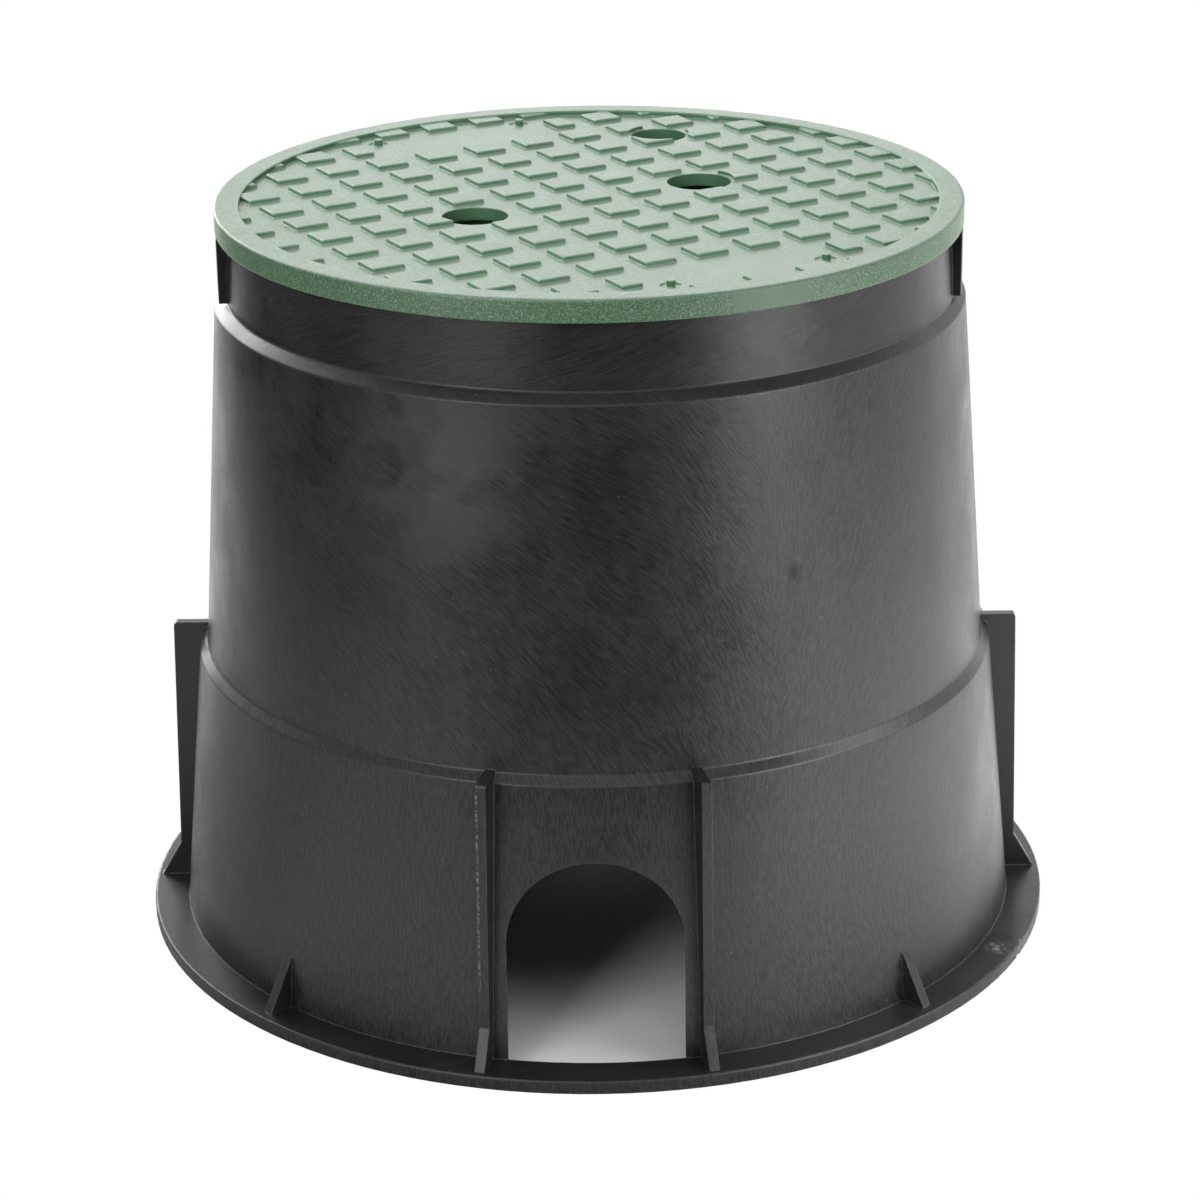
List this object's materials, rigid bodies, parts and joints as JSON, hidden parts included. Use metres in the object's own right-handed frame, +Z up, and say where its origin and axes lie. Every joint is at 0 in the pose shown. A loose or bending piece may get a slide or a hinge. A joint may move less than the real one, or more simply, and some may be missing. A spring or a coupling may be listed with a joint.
{
  "type": "drain inspection chamber",
  "caption": "Round tapered inspection chamber with a foot flange, arched pipe openings front and back, and a lift-off green tread lid with finger holes.",
  "frame": {"origin": "centre of the base, on the ground", "axes": "+Z up along the chamber's axis, -Y out of the front pipe opening, +X to the right seen from the front"},
  "size_m": [0.331, 0.331, 0.266],
  "materials": {
    "chamber_black": "satin moulded plastic with fine scuffs",
    "lid_green": "matt moulded plastic with a speckled rim"
  },
  "bodies": {
    "root": {"chamber_body": "chamber_black", "lid": "lid_green"}
  },
  "joints": []
}
